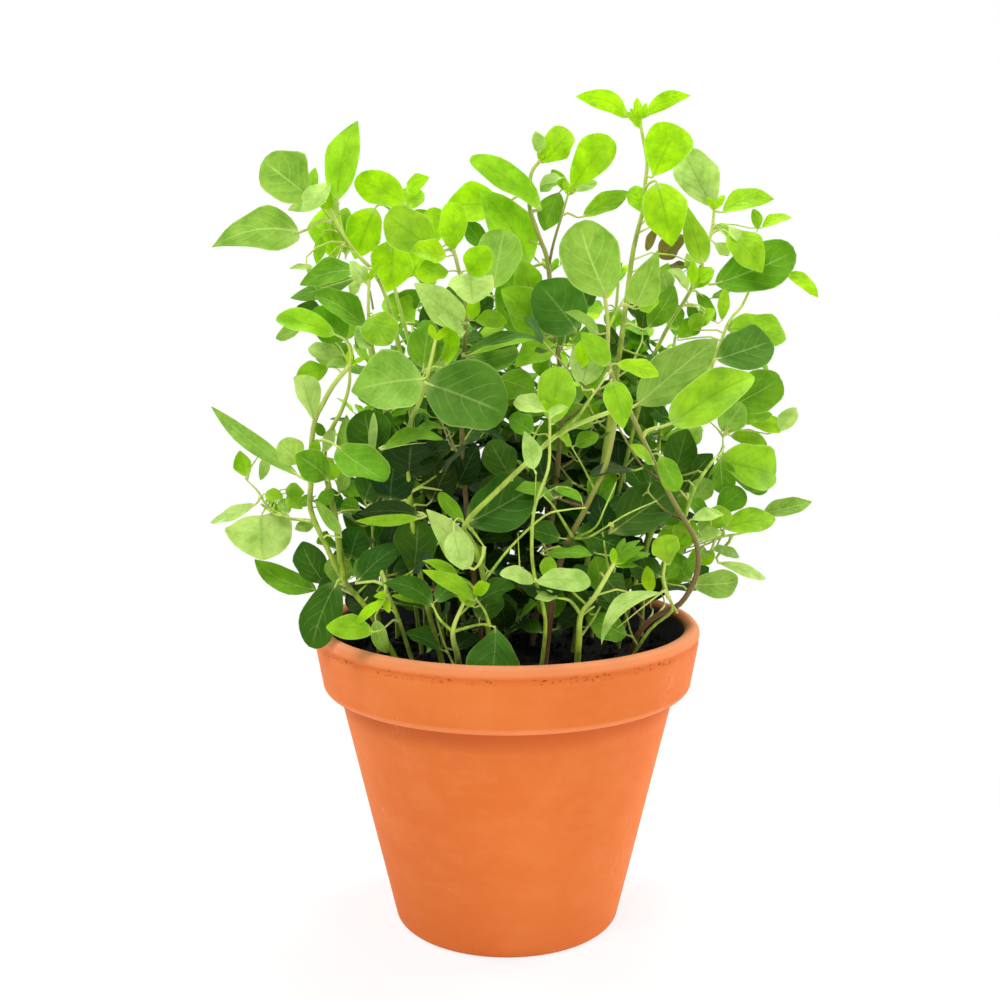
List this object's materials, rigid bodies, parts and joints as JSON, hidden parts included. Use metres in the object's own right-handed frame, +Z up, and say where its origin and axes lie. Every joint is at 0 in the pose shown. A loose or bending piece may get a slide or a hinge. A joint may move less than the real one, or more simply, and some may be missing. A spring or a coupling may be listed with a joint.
{
  "type": "potted oregano plant",
  "caption": "Bushy potted oregano: upright and arching leafy shoots standing in dark soil in a rimmed, tapered, unglazed clay pot with a drain hole.",
  "frame": {"origin": "centre of the pot's flat underside, which the object rests on", "axes": "+Z up along the pot's axis; -Y is the plant's fullest side, from which the tallest shoot stands right of the middle (+X)"},
  "size_m": [0.2362, 0.1561, 0.3245],
  "materials": {
    "terracotta": "matte",
    "potting_soil": "matte",
    "herb_green": "satin"
  },
  "bodies": {
    "root": {"pot": "terracotta", "soil": "potting_soil", "shoot_arching_left": "herb_green", "shoot_back_01": "herb_green", "shoot_back_02": "herb_green", "shoot_back_03": "herb_green", "shoot_back_04": "herb_green", "shoot_back_05": "herb_green", "shoot_back_06": "herb_green", "shoot_back_07": "herb_green", "shoot_back_08": "herb_green", "shoot_back_09": "herb_green", "shoot_back_10": "herb_green", "shoot_back_11": "herb_green", "shoot_back_12": "herb_green", "shoot_centre": "herb_green", "shoot_centre_left": "herb_green", "shoot_diagonal": "herb_green", "shoot_front_brown": "herb_green", "shoot_front_low": "herb_green", "shoot_inner_left": "herb_green", "shoot_lime_right": "herb_green", "shoot_low_left": "herb_green", "shoot_low_right": "herb_green", "shoot_middle_left": "herb_green", "shoot_right_side": "herb_green", "shoot_round_leaved": "herb_green", "shoot_slender": "herb_green", "shoot_tallest": "herb_green", "shoot_trailing_right": "herb_green", "shoot_upper_left": "herb_green", "shoot_upper_right": "herb_green"}
  },
  "joints": []
}
